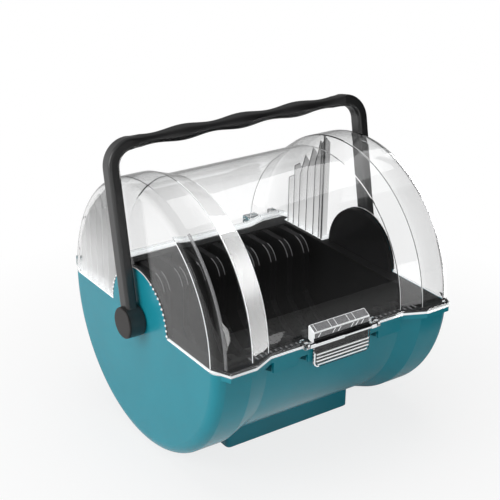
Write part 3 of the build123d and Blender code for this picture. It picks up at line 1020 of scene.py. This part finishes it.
def studio_card():
    """Card beside the case whose reflections run down the lid's left slope."""
    low = 0.003
    big = [(0.40, -0.45, low), (0.40, 0.12, low), (0.40, 0.12, 0.60), (0.40, -0.45, 0.60)]
    flat = [(0.20, -0.20, low), (0.20, -0.30, low), (0.40, -0.42, low), (0.40, -0.29, low)]
    small = [(0.103, -0.455, low), (0.153, -0.455, low), (0.153, -0.455, 0.066),
             (0.103, -0.455, 0.066)]
    mesh = bpy.data.meshes.new("side card")
    mesh.from_pydata(big + flat + small, [], [(0, 1, 2, 3), (4, 5, 6, 7), (8, 9, 10, 11)])
    mat, tree, glow, _ = fresh_material("side card", "ShaderNodeEmission")
    where = node(tree, "ShaderNodeTexCoord", (-900, 0))
    split = node(tree, "ShaderNodeSeparateXYZ", (-700, 0), vector=where.outputs["Object"])
    stretch, brightest = 2.0, 25.0
    level = ramp(tree, maths(tree, "MULTIPLY", split.outputs["Z"], stretch),
                 ((0.32, 0.46), (0.47, 0.54), (0.60, 0.88), (0.78, 1.0), (0.87, 0.83),
                  (0.94, 0.62), (1.0, 0.52)))
    far = node(tree, "ShaderNodeVectorMath", (-500, -200), operation="DISTANCE",
               vector=where.outputs["Object"])
    far.inputs[1].default_value = (0.40, 0.10, 0.06)
    edge = ramp(tree, far.outputs["Value"], ((0.49, 1.0), (0.53, 0.0)))
    tree.links.new(maths(tree, "MULTIPLY", maths(tree, "MULTIPLY", level, edge), brightest),
                   glow.inputs["Strength"])
    dim, _, low_glow, _ = fresh_material("low card", "ShaderNodeEmission")
    low_glow.inputs["Strength"].default_value = 4.5
    for surface in (mat, dim):
        surface.cycles.emission_sampling = "NONE"
        mesh.materials.append(surface)
    mesh.polygons[2].material_index = 1
    card = add_object("side card", mesh)
    for ray in ("camera", "diffuse", "transmission", "shadow", "volume_scatter"):
        setattr(card, "visible_" + ray, False)
    serve(card, True)


class CASE_OT_stage(bpy.types.Operator):
    """Pale floor, soft lamps, white surround and the camera"""
    bl_idname = "case.stage"
    bl_label = "Studio"

    def execute(self, context):
        s, scene = context.scene.case_studio, context.scene
        scene.world = studio_world(s.fill)
        studio_floor()
        mid = (0, 0, 0.13)
        # each lamp: its name, where it stands, what it faces, its size and its watts
        area_lamp("left key", (-1.5, 0.1, 0.9), mid, (1.2, 1.2), 14, lid=False)
        area_lamp("front fill", (-0.6, -1.8, 1.2), mid, (1.6, 1.0), 4, glossy=False)
        area_lamp("top", (0, 0.2, 1.7), mid, (1.2, 1.2), 8, glossy=False)
        studio_card()
        area_lamp("front card", (0.12, -0.70, 0.165), (0.12, 0, 0.165), (0.16, 0.33), 0.75,
                  diffuse=False, lid=True)
        area_lamp("slim card", (0.057, -0.45, 0.17), (-0.12, -0.13, 0.17), (0.006, 0.13),
                  0.0135, diffuse=False, lid=True, shape="ELLIPSE")
        area_lamp("high card", (0.78, 0.40, 1.75), (0, 0, 0.25), (0.85, 1.4), 11,
                  diffuse=False, lid=True)

        cam = bpy.data.cameras.new("camera")
        cam.lens, cam.sensor_width = s.lens, 36.0
        cam.clip_start, cam.clip_end = 0.01, 100.0
        view = add_object("camera", cam)
        view.matrix_world = camera_matrix(s)
        scene.camera = view
        scene.view_settings.view_transform = "Standard"
        return {"FINISHED"}


STEPS = (CASE_OT_tub, CASE_OT_panel_shades, CASE_OT_rack, CASE_OT_corners, CASE_OT_lid,
         CASE_OT_ribs, CASE_OT_rim, CASE_OT_lobe_edges, CASE_OT_fins, CASE_OT_latch, CASE_OT_pad,
         CASE_OT_handle, CASE_OT_hardware, CASE_OT_stage)
GROUPS = (("case_plastic", CasePlastic), ("case_trim", CaseTrim), ("case_studio", CaseStudio))


class CASE_PT_panel(bpy.types.Panel):
    bl_label = "Blade Case"
    bl_idname = "CASE_PT_panel"
    bl_space_type = "VIEW_3D"
    bl_region_type = "UI"
    bl_category = "Blade Case"

    def draw(self, context):
        for step in STEPS:
            self.layout.operator(step.bl_idname, text=step.bl_label)
        for attribute, group in GROUPS:
            column = self.layout.column(align=True)
            for name in group.__annotations__:
                column.prop(getattr(context.scene, attribute), name)


def register():
    for attribute, group in GROUPS:
        bpy.utils.register_class(group)
        setattr(bpy.types.Scene, attribute, PointerProperty(type=group))
    for cls in (*STEPS, CASE_PT_panel):
        bpy.utils.register_class(cls)


def unregister():
    for cls in reversed((*STEPS, CASE_PT_panel)):
        bpy.utils.unregister_class(cls)
    for attribute, group in reversed(GROUPS):
        delattr(bpy.types.Scene, attribute)
        bpy.utils.unregister_class(group)


def main():
    register()
    for step in STEPS:
        area, name = step.bl_idname.split(".")
        getattr(getattr(bpy.ops, area), name)()


if __name__ == "__main__":
    main()
